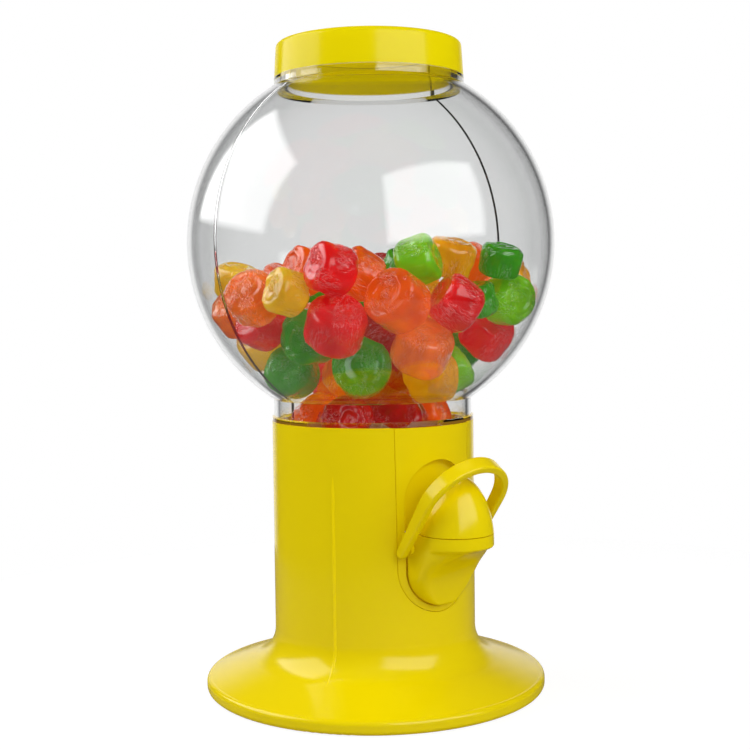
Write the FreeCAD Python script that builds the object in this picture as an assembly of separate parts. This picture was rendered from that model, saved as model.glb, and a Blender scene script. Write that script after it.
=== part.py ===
import FreeCAD, Part

import math
import os
import random

from FreeCAD import Vector

# Gumball machine. Millimetres, +Z up, origin on the ground under the column's
# axis, spout towards -Y. "Reach" means distance from the axis towards the spout.

# Pedestal: column and foot in one moulding
FOOT_RADIUS = 56.2
RIM_LIFT = 0.3
RIM_HEIGHT = 4.9
RIM_ROUND = 1.6
FOOT_SLOPE = 19.8
FOOT_FILLET = 11.0
COLUMN_RADIUS = 33.3
COLUMN_TOP = 88.7
PEDESTAL_WALL = 2.2

# Underside
COVER_BOTTOM = 1.0
COVER_THICKNESS = 1.8
COVER_GAP = 0.2
COVER_SCREWS = 4
COVER_SCREW_CIRCLE = FOOT_RADIUS - 16.2
BOSS_RADIUS = 3.2
SCREW_RADIUS = 1.2
SCREW_LENGTH = 5.0
SCREW_HEAD_RADIUS = 2.4
SCREW_HEAD_HEIGHT = 1.0
SCREW_GAP = 0.1
PADS = 4
PAD_RADIUS = 5.0
PAD_CIRCLE = FOOT_RADIUS - 11.2

# Spout panel, a tongue that slides into a slot of the column from above
PANEL_HALF_WIDTH = 14.5
PANEL_TAPER = 0.6
PANEL_ARC_Z = 44.6
PANEL_GAP = 0.2
PANEL_LAP = 2.4
PANEL_LAP_THICKNESS = 1.5
PANEL_LAP_GAP = 0.1
PANEL_CHUTE_GAP = 0.3
NICHE_HALF_WIDTH = 12.2
NICHE_ARC_Z = 66.0
NICHE_DEPTH = 2.6
NICHE_FLOOR_ROUND = 1.8

# Hood, an egg-shaped dome that stands on the panel
HOOD_REACH = COLUMN_RADIUS + 7.7
HOOD_RADIUS = 11.85
HOOD_EQUATOR_Z = 53.0
HOOD_RISE = 21.3
HOOD_WALL = 1.6
SPLIT_Z = 56.3
SPLIT_GAP = 0.3

# Tipping scoop and its pivot
PIVOT_REACH = COLUMN_RADIUS + 0.2
PIVOT_Z = 51.5
SCOOP_HALF_WIDTH = 11.6
SCOOP_ARC_Z = 44.0
SCOOP_GAP = 0.35
SCOOP_WALL = 1.6
LIP_HEIGHT = 3.4
CHIN_REACH = COLUMN_RADIUS + 3.7
SCOOP_BACK_REACH = COLUMN_RADIUS - 1.8
GATE_HALF_WIDTH = 9.2
GATE_THICKNESS = 1.6
GATE_FOOT_REACH = COLUMN_RADIUS - 0.7
GATE_FOOT_Z = 33.6
GATE_TIP_REACH = COLUMN_RADIUS - 19.0
GATE_TIP_Z = 49.6
LUG_RADIUS = 1.8
LUG_THICKNESS = 1.2
PIN_RADIUS = 0.9
PIN_RUNNING_GAP = 0.05
PIN_SEAT_GAP = 0.02

# Sections of the scoop from its lowest point (0) to under the lip (1): how far the
# front has swung out from the chin (0) to the lip (1), and how round its corners are
SCOOP_SECTIONS = (
    (0.02, -0.09, 0.45),
    (0.10, -0.04, 0.36),
    (0.23, 0.00, 0.33),
    (0.41, 0.07, 0.29),
    (0.59, 0.20, 0.30),
    (0.74, 0.40, 0.42),
    (0.86, 0.64, 0.68),
    (0.93, 0.82, 0.90),
    (0.97, 0.96, 0.97),
    (1.00, 1.00, 0.98),
)

# Loop handle
LOOP_ANGLE = 55.0
LOOP_REACH = 33.8
LOOP_TAIL = 3.0
LOOP_GAP = 0.3
LOOP_THICKNESS = 2.6
LOOP_END_WIDTH = 5.4
LOOP_TAIL_WIDTH = 3.3
LOOP_EDGE = 0.7

# Candy chute inside the column
CHUTE_TOP = 79.2
CHUTE_WALL = 1.6
CHUTE_GAP = 0.4
CHUTE_THROAT_Z = 62.0
CHUTE_THROAT_HALF_WIDTH = 10.4
CHUTE_THROAT_BACK = -8.0
CHUTE_THROAT_FRONT = COLUMN_RADIUS - 8.5
CHUTE_EXIT_REACH = COLUMN_RADIUS - 20.4
CHUTE_EXIT_Z = 50.3
CHEEK_REACH = COLUMN_RADIUS - 11.8
LEDGE_HEIGHT = 2.0

# Globe of two clear half shells, built up from the column's top
GLOBE_RADIUS = 60.0
GLOBE_WALL = 1.8
SEAM_GAP = 0.12
SPIGOT_DEPTH = 8.7
SPIGOT_GAP = 0.3
FLANGE_RADIUS = COLUMN_RADIUS - 0.1
FLANGE_HEIGHT = 1.6
COLLAR_RADIUS = COLUMN_RADIUS - 0.7
COLLAR_HEIGHT = 5.7
COLLAR_TOP_Z = COLUMN_TOP + FLANGE_HEIGHT + COLLAR_HEIGHT
GLOBE_CENTRE_Z = COLLAR_TOP_Z + math.sqrt(GLOBE_RADIUS ** 2 - COLLAR_RADIUS ** 2)
BEAD_RADIUS = 31.0
BEAD_HEIGHT = 2.6
BEAD_TOP_Z = GLOBE_CENTRE_Z + math.sqrt(GLOBE_RADIUS ** 2 - BEAD_RADIUS ** 2) + BEAD_HEIGHT
NECK_RADIUS = BEAD_RADIUS - 2.0
NECK_WALL = 2.0

# Push-on lid
LID_RADIUS = BEAD_RADIUS - 0.1
LID_HEIGHT = 11.2
LID_TOP_Z = BEAD_TOP_Z + LID_HEIGHT
LID_DRAFT = 0.6
LID_THICKNESS = 1.6
LID_HEADROOM = 1.6
LID_GAP = 0.3
LID_ROUND = 1.6
NECK_TOP_Z = LID_TOP_Z - LID_THICKNESS - LID_HEADROOM

# Hard candies, short barrels with rounded edges, sized to the globe they fill
CANDY_RADIUS = 0.15 * GLOBE_RADIUS
CANDY_HALF_HEIGHT = 0.78 * CANDY_RADIUS
CANDY_EDGE = 0.31 * CANDY_RADIUS
CANDY_GAP = 0.35
CANDY_COLOURS = ("red", "cherry", "orange", "peach", "amber", "lemon", "green", "lime")
CANDY_SPAN = 2.2 * CANDY_RADIUS
FILLERS = 28
FILLER_SIZE = 0.85
FILLER_SEED = 2
SETTLING_STEPS = 300
SETTLING_FALL = CANDY_RADIUS / 18
HOMING = 0.5
DEPTH_FREEDOM = 0.75
FILLER_YIELD = 0.85

# Candies that show through the globe, seen from the side at this bearing from the
# spout: place across and above its centre in hundredths of its radius, row behind the
# glass, size, colour, and the way the barrel's axis points as (right, towards the
# viewer, up)
SHOW_BEARING = 38.0
ROW_DEPTH = 0.25 * GLOBE_RADIUS
SHOWN_CANDIES = (
    (-77, -41, 0, 0.9, "peach", (-2, 2, 3)),
    (-60, -32, 0, 0.88, "peach", (-1, 3, 2)),
    (-48, -22, 1, 0.75, "orange", (1, 1, 3)),
    (-33, -17, 1, 0.8, "orange", (-3, 2, 1)),
    (-22, -22, 0, 0.84, "red", (-3, 2, 1)),
    (-38, -29, 0, 0.76, "lemon", (-3, 2, 1)),
    (-52, -42, 0, 0.82, "red", (-3, 3, 2)),
    (-63, -59, 0, 0.9, "lemon", (-2, 2, 3)),
    (-33, -47, 0, 0.95, "green", (-2, 3, 0)),
    (-40, -72, 0, 0.9, "green", (-1, 3, 1)),
    (-20, -39, 0, 1.0, "red", (1, 3, 4)),
    (-7, -29, 0.5, 0.86, "orange", (-3, 1, 2)),
    (-3, -21, 1.3, 0.7, "green", (3, 1, 1)),
    (5, -17, 2, 0.7, "cherry", (1, 2, 1)),
    (-3, -64, 0, 1.0, "green", (0, 4, 1)),
    (5, -49, 1, 0.9, "cherry", (2, 1, 1)),
    (-10, -77, 1, 0.9, "orange", (1, 2, 2)),
    (15, -14, 2, 0.7, "green", (1, 1, 3)),
    (15, -39, 0, 0.98, "orange", (-3, 4, 2)),
    (22, -22, 1.2, 0.84, "lime", (3, 1, 1)),
    (42, -16, 1.3, 0.84, "amber", (1, 1, 4)),
    (33, -27, 1, 0.7, "amber", (1, 2, 3)),
    (55, -11, 2, 0.7, "orange", (2, 1, 2)),
    (62, -14, 1, 0.72, "green", (1, 1, 4)),
    (52, -29, 0, 0.7, "green", (-1, 1, 4)),
    (78, -19, 1.3, 0.7, "amber", (2, 1, 1)),
    (75, -32, 0, 0.9, "lime", (2, 3, 0)),
    (42, -39, 0, 0.88, "red", (-3, 1, 2)),
    (62, -57, 0, 0.95, "red", (2, 2, 3)),
    (28, -51, 0.5, 0.98, "peach", (1, 2, 3)),
    (28, -72, 0, 0.95, "amber", (3, 2, 1)),
    (52, -71, 1, 0.8, "green", (1, 1, 1)),
    (10, -72, 1.4, 0.9, "cherry", (2, 1, 3)),
    (-17, -85, 0.3, 0.85, "red", (2, 1, 1)),
    (3, -84, 0.3, 0.85, "cherry", (1, 2, 3)),
    (22, -85, 0.5, 0.85, "red", (-2, 1, 2)),
    (-28, -94, 0, 0.9, "orange", (1, 2, 1)),
    (-12, -94, 0, 0.95, "cherry", (1, 3, 1)),
    (15, -94, 0, 0.95, "cherry", (-1, 3, 1)),
    (30, -94, 0, 0.9, "orange", (2, 1, 1)),
)

FAR = 200.0
DIAGONAL = 45.0


def front(x, z):
    """Point of a drawing seen from the spout side."""
    return Vector(x, 0, z)


def side(reach, z):
    """Point of a drawing in the mid plane, seen from the side."""
    return Vector(0, -reach, z)


def outline(place, start, *steps):
    """Closed face: a step with one point is a line, with two points an arc through the first."""
    edges = []
    here = place(*start)
    for step in steps:
        there = place(*step[-1])
        if len(step) == 1:
            edges.append(Part.LineSegment(here, there).toShape())
        else:
            edges.append(Part.Arc(here, place(*step[0]), there).toShape())
        here = there
    home = place(*start)
    if (here - home).Length > 1e-6:
        edges.append(Part.LineSegment(here, home).toShape())
    return Part.Face(Part.Wire(edges))


def turned(face, reach=0.0):
    """Body of revolution about an upright axis at the given reach."""
    body = face.revolve(Vector(0, 0, 0), Vector(0, 0, 1), 360)
    body.translate(Vector(0, -reach, 0))
    return body


def rod(radius, bottom, top, x=0.0, y=0.0):
    return Part.makeCylinder(radius, top - bottom, Vector(x, y, bottom))


def cross_rod(radius, x_from, x_to, reach=PIVOT_REACH, z=PIVOT_Z):
    """Cylinder along X, by default on the pivot axis."""
    return Part.makeCylinder(radius, x_to - x_from, Vector(x_from, -reach, z), Vector(1, 0, 0))


def forward(face, reach_from, reach_to):
    """Prism of a front outline between two reaches."""
    prism = face.extrude(Vector(0, reach_from - reach_to, 0))
    prism.translate(Vector(0, -reach_from, 0))
    return prism


def across(face, x_from, x_to):
    """Prism of a side outline between two places along X."""
    prism = face.extrude(Vector(x_to - x_from, 0, 0))
    prism.translate(Vector(x_from, 0, 0))
    return prism


def slab(x_half, reach_from, reach_to, bottom, top):
    return Part.makeBox(2 * x_half, reach_to - reach_from, top - bottom, Vector(-x_half, -reach_to, bottom))


def mirrored(shape):
    return shape.mirror(Vector(0, 0, 0), Vector(1, 0, 0))


def on_circle(count, radius, start=DIAGONAL):
    for index in range(count):
        angle = math.radians(start + index * 360.0 / count)
        yield radius * math.cos(angle), radius * math.sin(angle)


def arc_middle(centre, radius, angle_from, angle_to):
    angle = math.radians((angle_from + angle_to) / 2)
    return centre[0] + radius * math.cos(angle), centre[1] + radius * math.sin(angle)


# Pedestal


class FootLine:
    """The foot's slope and the fillet that carries it into the column."""

    slope = math.radians(FOOT_SLOPE)
    up = (math.sin(slope), math.cos(slope))
    edge = (FOOT_RADIUS - RIM_ROUND, RIM_HEIGHT)
    centre_r = COLUMN_RADIUS + FOOT_FILLET
    centre = (centre_r, edge[1] + (FOOT_FILLET - up[0] * (centre_r - edge[0])) / up[1])

    @classmethod
    def tangent(cls, radius):
        return cls.centre[0] - radius * cls.up[0], cls.centre[1] - radius * cls.up[1]

    @classmethod
    def fillet_middle(cls, radius):
        return arc_middle(cls.centre, radius, 180.0, 270.0 - FOOT_SLOPE)

    @classmethod
    def underside_z(cls, r):
        edge_r = cls.edge[0] - PEDESTAL_WALL * cls.up[0]
        edge_z = cls.edge[1] - PEDESTAL_WALL * cls.up[1]
        return edge_z - math.tan(cls.slope) * (r - edge_r)


def pedestal_outside():
    low = RIM_LIFT
    turn = RIM_ROUND * (1 - math.sqrt(0.5))
    return turned(outline(
        front,
        (0, low),
        ((FOOT_RADIUS - RIM_ROUND, low),),
        ((FOOT_RADIUS - turn, low + turn), (FOOT_RADIUS, low + RIM_ROUND)),
        ((FOOT_RADIUS, RIM_HEIGHT - RIM_ROUND),),
        ((FOOT_RADIUS - turn, RIM_HEIGHT - turn), FootLine.edge),
        (FootLine.tangent(FOOT_FILLET),),
        (FootLine.fillet_middle(FOOT_FILLET), (COLUMN_RADIUS, FootLine.centre[1])),
        ((COLUMN_RADIUS, COLUMN_TOP),),
        ((0, COLUMN_TOP),),
    ))


def pedestal_inside():
    column = COLUMN_RADIUS - PEDESTAL_WALL
    rim = FOOT_RADIUS - PEDESTAL_WALL
    fillet = FOOT_FILLET + PEDESTAL_WALL
    return turned(outline(
        front,
        (0, -1),
        ((rim, -1),),
        ((rim, FootLine.underside_z(rim)),),
        (FootLine.tangent(fillet),),
        (FootLine.fillet_middle(fillet), (column, FootLine.centre[1])),
        ((column, COLUMN_TOP + 1),),
        ((0, COLUMN_TOP + 1),),
    ))


def tongue(offset, top):
    """Front outline of the spout panel, grown by an offset."""
    low = PANEL_HALF_WIDTH + offset
    high = low + PANEL_TAPER
    return outline(
        front,
        (-high, top),
        ((-low, PANEL_ARC_Z),),
        ((0, PANEL_ARC_Z - low), (low, PANEL_ARC_Z)),
        ((high, top),),
    )


def cover_top():
    return COVER_BOTTOM + COVER_THICKNESS


def chute_ledge():
    """Ledge inside the column that the chute's flange rests on, open beside the panel."""
    inner = hopper_radius() + PANEL_CHUTE_GAP
    top = CHUTE_TOP - CHUTE_WALL
    ledge = rod(COLUMN_RADIUS - PEDESTAL_WALL / 2, top - LEDGE_HEIGHT, top)
    return ledge.cut([rod(inner, 0, FAR), beside_panel(hopper_radius(), CHUTE_GAP)])


def pedestal():
    outside = pedestal_outside()
    shell = outside.cut(pedestal_inside())
    bosses = [
        rod(BOSS_RADIUS, cover_top(), FootLine.centre[1], x, y)
        for x, y in on_circle(COVER_SCREWS, COVER_SCREW_CIRCLE)
    ]
    shell = shell.fuse([boss.common(outside) for boss in bosses])
    holes = [
        rod(SCREW_RADIUS + SCREW_GAP, 0, COVER_BOTTOM + SCREW_HEAD_HEIGHT + SCREW_LENGTH + SCREW_GAP, x, y)
        for x, y in on_circle(COVER_SCREWS, COVER_SCREW_CIRCLE)
    ]
    slot = forward(tongue(0, COLUMN_TOP + 1), 0, COLUMN_RADIUS + 5)
    return shell.fuse(chute_ledge()).cut(holes + [slot]).removeSplitter()


# Underside


def bottom_cover():
    plate = rod(FOOT_RADIUS - PEDESTAL_WALL - COVER_GAP, COVER_BOTTOM, cover_top())
    places = list(on_circle(COVER_SCREWS, COVER_SCREW_CIRCLE))
    holes = [rod(SCREW_RADIUS + SCREW_GAP, 0, cover_top() + 1, x, y) for x, y in places]
    seats = [
        rod(SCREW_HEAD_RADIUS + SCREW_GAP, 0, COVER_BOTTOM + SCREW_HEAD_HEIGHT, x, y) for x, y in places
    ]
    return plate.cut(holes + seats)


def cover_screws():
    seat = COVER_BOTTOM + SCREW_HEAD_HEIGHT
    screws = []
    for x, y in on_circle(COVER_SCREWS, COVER_SCREW_CIRCLE):
        head = rod(SCREW_HEAD_RADIUS, COVER_BOTTOM, seat, x, y)
        shank = rod(SCREW_RADIUS, COVER_BOTTOM, seat + SCREW_LENGTH, x, y)
        screws.append(head.fuse(shank).removeSplitter())
    return Part.makeCompound(screws)


def foot_pads():
    places = on_circle(PADS, PAD_CIRCLE, 0)
    return Part.makeCompound([rod(PAD_RADIUS, 0, COVER_BOTTOM, x, y) for x, y in places])


# Spout panel with its hood


def panel_shell():
    lap_inner = COLUMN_RADIUS - PEDESTAL_WALL - PANEL_LAP_GAP - PANEL_LAP_THICKNESS
    inside = rod(lap_inner, 0, FAR)
    plate = rod(COLUMN_RADIUS, 0, FAR).cut(inside)
    plate = plate.common(forward(tongue(-PANEL_GAP, COLUMN_TOP - PANEL_LAP_GAP), 0, COLUMN_RADIUS + 5))
    lap = rod(COLUMN_RADIUS - PEDESTAL_WALL - PANEL_LAP_GAP, 0, FAR).cut(inside)
    lap = lap.common(forward(tongue(PANEL_LAP, CHUTE_TOP), 0, COLUMN_RADIUS + 5))
    clear_of_globe = rod(COLUMN_RADIUS - PEDESTAL_WALL, CHUTE_TOP, FAR)
    return plate.fuse(lap).cut(clear_of_globe).removeSplitter()


def niche():
    """Hollow round the hood: an arch cut down to a floor that follows the column."""
    half = NICHE_HALF_WIDTH
    face = outline(
        front,
        (-half, SPLIT_Z),
        ((-half, NICHE_ARC_Z),),
        ((0, NICHE_ARC_Z + half), (half, NICHE_ARC_Z)),
        ((half, SPLIT_Z),),
    )
    floor = COLUMN_RADIUS - NICHE_DEPTH
    hollow = forward(face, 0, COLUMN_RADIUS + NICHE_DEPTH).cut(rod(floor, 0, FAR))
    return hollow.makeFillet(NICHE_FLOOR_ROUND, [edge for edge in hollow.Edges if follows(edge, floor)])


def follows(edge, radius):
    """Whether an edge above the split runs along an upright cylinder of this radius."""
    middle = edge.valueAt((edge.FirstParameter + edge.LastParameter) / 2)
    points = [vertex.Point for vertex in edge.Vertexes] + [middle]
    offsets = [abs(math.hypot(point.x, point.y) - radius) for point in points]
    return max(offsets) < 1e-3 and middle.z > SPLIT_Z + 1e-3


def hood_egg(inset, cut_z):
    """Upper part of an egg of revolution about the hood's upright axis."""
    radius = HOOD_RADIUS - inset
    rise = HOOD_RISE - inset
    top = Vector(0, 0, HOOD_EQUATOR_Z + rise)
    egg = Part.Ellipse(top, Vector(radius, 0, HOOD_EQUATOR_Z), Vector(0, 0, HOOD_EQUATOR_Z))
    cut_r = radius * math.sqrt(1 - ((cut_z - HOOD_EQUATOR_Z) / rise) ** 2)
    rim = Vector(cut_r, 0, cut_z)
    ends = sorted((egg.parameter(top), egg.parameter(rim)))
    if ends[1] - ends[0] > math.pi:
        ends = [ends[1], ends[0] + 2 * math.pi]
    curve = Part.Arc(egg, ends[0], ends[1]).toShape()
    centre = Vector(0, 0, cut_z)
    wire = Part.Wire(Part.__sortEdges__([
        curve,
        Part.LineSegment(rim, centre).toShape(),
        Part.LineSegment(centre, top).toShape(),
    ]))
    return turned(Part.Face(wire), HOOD_REACH)


def scoop_opening(half, top):
    return outline(
        front,
        (-half, top),
        ((-half, SCOOP_ARC_Z),),
        ((0, SCOOP_ARC_Z - half), (half, SCOOP_ARC_Z)),
        ((half, top),),
    )


def lug_outer():
    return SCOOP_HALF_WIDTH + SCOOP_GAP + LUG_THICKNESS


def pivot_lug():
    """Ear of the panel beside the scoop, bored for the pin."""
    outer = lug_outer()
    inner = outer - LUG_THICKNESS
    root = math.sqrt(COLUMN_RADIUS ** 2 - outer ** 2) - PANEL_LAP_THICKNESS
    web = Part.makeBox(
        LUG_THICKNESS, PIVOT_REACH - root, SPLIT_Z - PIVOT_Z + LUG_RADIUS,
        Vector(inner, -PIVOT_REACH, PIVOT_Z - LUG_RADIUS),
    )
    lug = web.fuse(cross_rod(LUG_RADIUS, inner, outer))
    return lug.cut(cross_rod(PIN_RADIUS + PIN_RUNNING_GAP, inner - 1, outer + 1))


def spout_panel():
    inner_face = COLUMN_RADIUS - PEDESTAL_WALL - PANEL_LAP_GAP - PANEL_LAP_THICKNESS
    opening = SCOOP_HALF_WIDTH + SCOOP_GAP
    hood = hood_egg(0, SPLIT_Z).cut(hood_egg(HOOD_WALL, SPLIT_Z))
    hood = hood.common(slab(FAR, inner_face, FAR, 0, FAR))
    panel = panel_shell().cut(niche()).fuse(hood)
    panel = panel.cut(forward(scoop_opening(opening, SPLIT_Z), 0, COLUMN_RADIUS + 5))
    lug = pivot_lug()
    return panel.fuse([lug, mirrored(lug)]).removeSplitter()


# Tipping scoop


def swept_body(inset):
    """Body turned about the pivot axis: whatever stays inside it passes the panel's opening."""
    half = SCOOP_HALF_WIDTH - inset
    drop = PIVOT_Z - SCOOP_ARC_Z
    face = outline(
        front,
        (-half, PIVOT_Z),
        ((-half, SCOOP_ARC_Z),),
        ((0, PIVOT_Z - drop - half), (half, SCOOP_ARC_Z)),
        ((half, PIVOT_Z),),
    )
    face.translate(Vector(0, -PIVOT_REACH, 0))
    return face.revolve(Vector(0, -PIVOT_REACH, PIVOT_Z), Vector(1, 0, 0), 360)


def scoop_section(height, swing, corner, inset):
    """Level outline of the scoop: straight sides and a front with rounded corners."""
    low = SCOOP_ARC_Z - SCOOP_HALF_WIDTH
    lip_z = SPLIT_Z - SPLIT_GAP - LIP_HEIGHT
    z = low + height * (lip_z - low)
    half = SCOOP_HALF_WIDTH
    if z < SCOOP_ARC_Z:
        half = math.sqrt(SCOOP_HALF_WIDTH ** 2 - (SCOOP_ARC_Z - z) ** 2)
    lip_reach = HOOD_REACH + SCOOP_HALF_WIDTH
    reach = CHIN_REACH + swing * (lip_reach - CHIN_REACH) - inset
    half = half - inset
    turn = corner * half
    nick = turn * (1 - math.sqrt(0.5))
    back = SCOOP_BACK_REACH - 2 * SCOOP_WALL
    face = outline(
        lambda x, out: Vector(x, -out, z + inset * (1 - height)),
        (-half, back),
        ((-half, reach - turn),),
        ((-half + nick, reach - nick), (-half + turn, reach)),
        ((half - turn, reach),),
        ((half - nick, reach - nick), (half, reach - turn)),
        ((half, back),),
    )
    return face.OuterWire


def scoop_body(inset):
    """Chin and lip, lofted through level sections and carried straight up to the split."""
    first = 1 if inset else 0
    wires = [scoop_section(*section, inset) for section in SCOOP_SECTIONS[first:]]
    chin = Part.makeLoft(wires, True, False)
    rise = LIP_HEIGHT + (1 if inset else 0)
    return chin.fuse(Part.Face(wires[-1]).extrude(Vector(0, 0, rise)))


def gate():
    """Sloping floor behind the bowl that closes the chute when the scoop is tipped."""
    foot = Vector(GATE_FOOT_REACH, 0, GATE_FOOT_Z)
    tip = Vector(GATE_TIP_REACH, 0, GATE_TIP_Z)
    run = (tip - foot).normalize()
    under = Vector(-run.z, 0, run.x) * GATE_THICKNESS
    corners = [(point.x, point.z) for point in (foot, tip, tip + under, foot + under)]
    strip = outline(side, corners[0], *[(corner,) for corner in corners[1:]])
    return across(strip, -GATE_HALF_WIDTH, GATE_HALF_WIDTH).common(swept_body(0))


def scoop():
    top = SPLIT_Z - SPLIT_GAP
    lip_z = top - LIP_HEIGHT
    body = scoop_body(0)
    chin = body.common(slab(FAR, SCOOP_BACK_REACH, FAR, 0, lip_z)).common(swept_body(0))
    lip = body.common(slab(FAR, SCOOP_BACK_REACH, FAR, lip_z, top))
    bowl = chin.fuse(lip).cut(scoop_body(SCOOP_WALL))
    bore = cross_rod(PIN_RADIUS + PIN_SEAT_GAP, -FAR / 2, FAR / 2)
    return bowl.fuse(gate()).cut(bore).removeSplitter()


def loop_inner():
    return lug_outer() + LOOP_GAP


def pin_end():
    return loop_inner() + 0.7 * LOOP_THICKNESS


def loop_handle():
    """Bail drawn upright above the pivot, then leaned out to its rest angle."""
    inner = loop_inner()
    outer = inner + LOOP_THICKNESS
    straight = LOOP_REACH - outer
    face = outline(
        front,
        (-outer, -LOOP_TAIL),
        ((-outer, straight),),
        ((0, straight + outer), (outer, straight)),
        ((outer, -LOOP_TAIL),),
        ((inner, -LOOP_TAIL),),
        ((inner, straight),),
        ((0, straight + inner), (-inner, straight)),
        ((-inner, -LOOP_TAIL),),
    )
    tail = LOOP_TAIL_WIDTH / 2
    end = LOOP_END_WIDTH / 2
    taper = outline(
        side,
        (-tail, tail - LOOP_TAIL),
        ((0, -LOOP_TAIL), (tail, tail - LOOP_TAIL)),
        ((end, LOOP_REACH),),
        ((-end, LOOP_REACH),),
    )
    bail = forward(face, -LOOP_END_WIDTH, LOOP_END_WIDTH).common(across(taper, -outer, outer))
    bail = bail.makeFillet(LOOP_EDGE, [edge for edge in bail.Edges if edge.Length > LOOP_END_WIDTH])
    bail = bail.cut(cross_rod(PIN_RADIUS + PIN_SEAT_GAP, -pin_end(), pin_end(), 0, 0))
    bail.rotate(Vector(0, 0, 0), Vector(1, 0, 0), 90 - LOOP_ANGLE)
    bail.translate(Vector(0, -PIVOT_REACH, PIVOT_Z))
    return bail


def pivot_pins():
    pin = cross_rod(PIN_RADIUS, SCOOP_HALF_WIDTH - SCOOP_WALL, pin_end())
    return Part.makeCompound([pin, mirrored(pin)])


# Candy chute


def hopper(grow):
    """Funnel from the round column to the oblong throat, drawn by its outside."""
    radius = hopper_radius() + grow
    half = CHUTE_THROAT_HALF_WIDTH + CHUTE_WALL + grow
    rear = -CHUTE_THROAT_BACK + CHUTE_WALL + grow
    fore = -CHUTE_THROAT_FRONT - CHUTE_WALL - grow
    rim = [Vector(x, y, CHUTE_TOP) for x, y in on_circle(8, radius, 5 * DIAGONAL)]
    rim.append(rim[0])
    top = Part.Wire([Part.Arc(*rim[index:index + 3]).toShape() for index in range(0, 8, 2)])
    corners = [(-half, fore), (half, fore), (half, rear), (-half, rear), (-half, fore)]
    throat = Part.makePolygon([Vector(x, y, CHUTE_THROAT_Z) for x, y in corners])
    return Part.makeLoft([top, throat], True, True)


def trough():
    """Sloping floor with a cheek on each side, from the throat to the scoop's gate."""
    half = CHUTE_THROAT_HALF_WIDTH
    slope = math.atan2(CHUTE_THROAT_Z - CHUTE_EXIT_Z, CHUTE_EXIT_REACH - CHUTE_THROAT_BACK)
    drop = CHUTE_WALL / math.cos(slope)
    rear = CHUTE_THROAT_BACK - CHUTE_WALL
    outside = outline(
        side,
        (rear, CHUTE_THROAT_Z),
        ((rear, CHUTE_THROAT_Z - drop),),
        ((CHUTE_THROAT_BACK, CHUTE_THROAT_Z - drop),),
        ((CHUTE_EXIT_REACH, CHUTE_EXIT_Z - drop),),
        ((CHUTE_EXIT_REACH, CHUTE_EXIT_Z),),
        ((CHEEK_REACH, CHUTE_EXIT_Z),),
        ((CHEEK_REACH, CHUTE_THROAT_Z),),
    )
    inside = outline(
        side,
        (CHUTE_THROAT_BACK, CHUTE_THROAT_Z),
        ((CHUTE_EXIT_REACH, CHUTE_EXIT_Z),),
        ((FAR, CHUTE_EXIT_Z),),
        ((FAR, CHUTE_THROAT_Z),),
    )
    return across(outside, -half - CHUTE_WALL, half + CHUTE_WALL).cut(across(inside, -half, half))


def beside_panel(radius, gap):
    """Room that the panel's lap needs in front of a given radius."""
    lap = forward(tongue(PANEL_LAP + gap, FAR), 0, COLUMN_RADIUS)
    return lap.cut(rod(radius, 0, FAR))


def hopper_radius():
    return COLUMN_RADIUS - PEDESTAL_WALL - PANEL_LAP_GAP - PANEL_LAP_THICKNESS - PANEL_CHUTE_GAP


def chute():
    funnel = hopper(0).cut(hopper(-CHUTE_WALL))
    flange = rod(COLUMN_RADIUS - PEDESTAL_WALL - CHUTE_GAP, CHUTE_TOP - CHUTE_WALL, CHUTE_TOP)
    bore = rod(hopper_radius() - CHUTE_WALL, 0, FAR)
    flange = flange.cut([bore, beside_panel(hopper_radius(), CHUTE_GAP)])
    return funnel.fuse([flange, trough()]).removeSplitter()


# Globe and lid


def on_sphere(radius, r, sign):
    return GLOBE_CENTRE_Z + sign * math.sqrt(radius ** 2 - r ** 2)


def globe():
    """Clear shell with collar, flange and spigot below and the neck above."""
    outer = GLOBE_RADIUS
    inner = GLOBE_RADIUS - GLOBE_WALL
    collar_in = COLLAR_RADIUS - GLOBE_WALL
    spigot = COLUMN_RADIUS - PEDESTAL_WALL - SPIGOT_GAP
    spigot_in = spigot - GLOBE_WALL
    neck_in = NECK_RADIUS - NECK_WALL
    flange_top = COLUMN_TOP + FLANGE_HEIGHT
    return turned(outline(
        front,
        (spigot, COLUMN_TOP - SPIGOT_DEPTH),
        ((spigot, COLUMN_TOP),),
        ((FLANGE_RADIUS, COLUMN_TOP),),
        ((FLANGE_RADIUS, flange_top),),
        ((COLLAR_RADIUS, flange_top),),
        ((COLLAR_RADIUS, on_sphere(outer, COLLAR_RADIUS, -1)),),
        ((outer, GLOBE_CENTRE_Z), (BEAD_RADIUS, on_sphere(outer, BEAD_RADIUS, 1))),
        ((BEAD_RADIUS, BEAD_TOP_Z),),
        ((NECK_RADIUS, BEAD_TOP_Z),),
        ((NECK_RADIUS, NECK_TOP_Z),),
        ((neck_in, NECK_TOP_Z),),
        ((neck_in, on_sphere(inner, neck_in, 1)),),
        ((inner, GLOBE_CENTRE_Z), (collar_in, on_sphere(inner, collar_in, -1))),
        ((collar_in, flange_top),),
        ((spigot_in, COLUMN_TOP - GLOBE_WALL),),
        ((spigot_in, COLUMN_TOP - SPIGOT_DEPTH),),
    ))


def globe_half(towards):
    """Half of the globe on one side of the seam, -1 for the spout side."""
    reach = sorted((-towards * SEAM_GAP / 2, -towards * FAR))
    return globe().common(slab(FAR, reach[0], reach[1], 0, 2 * FAR))


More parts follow.
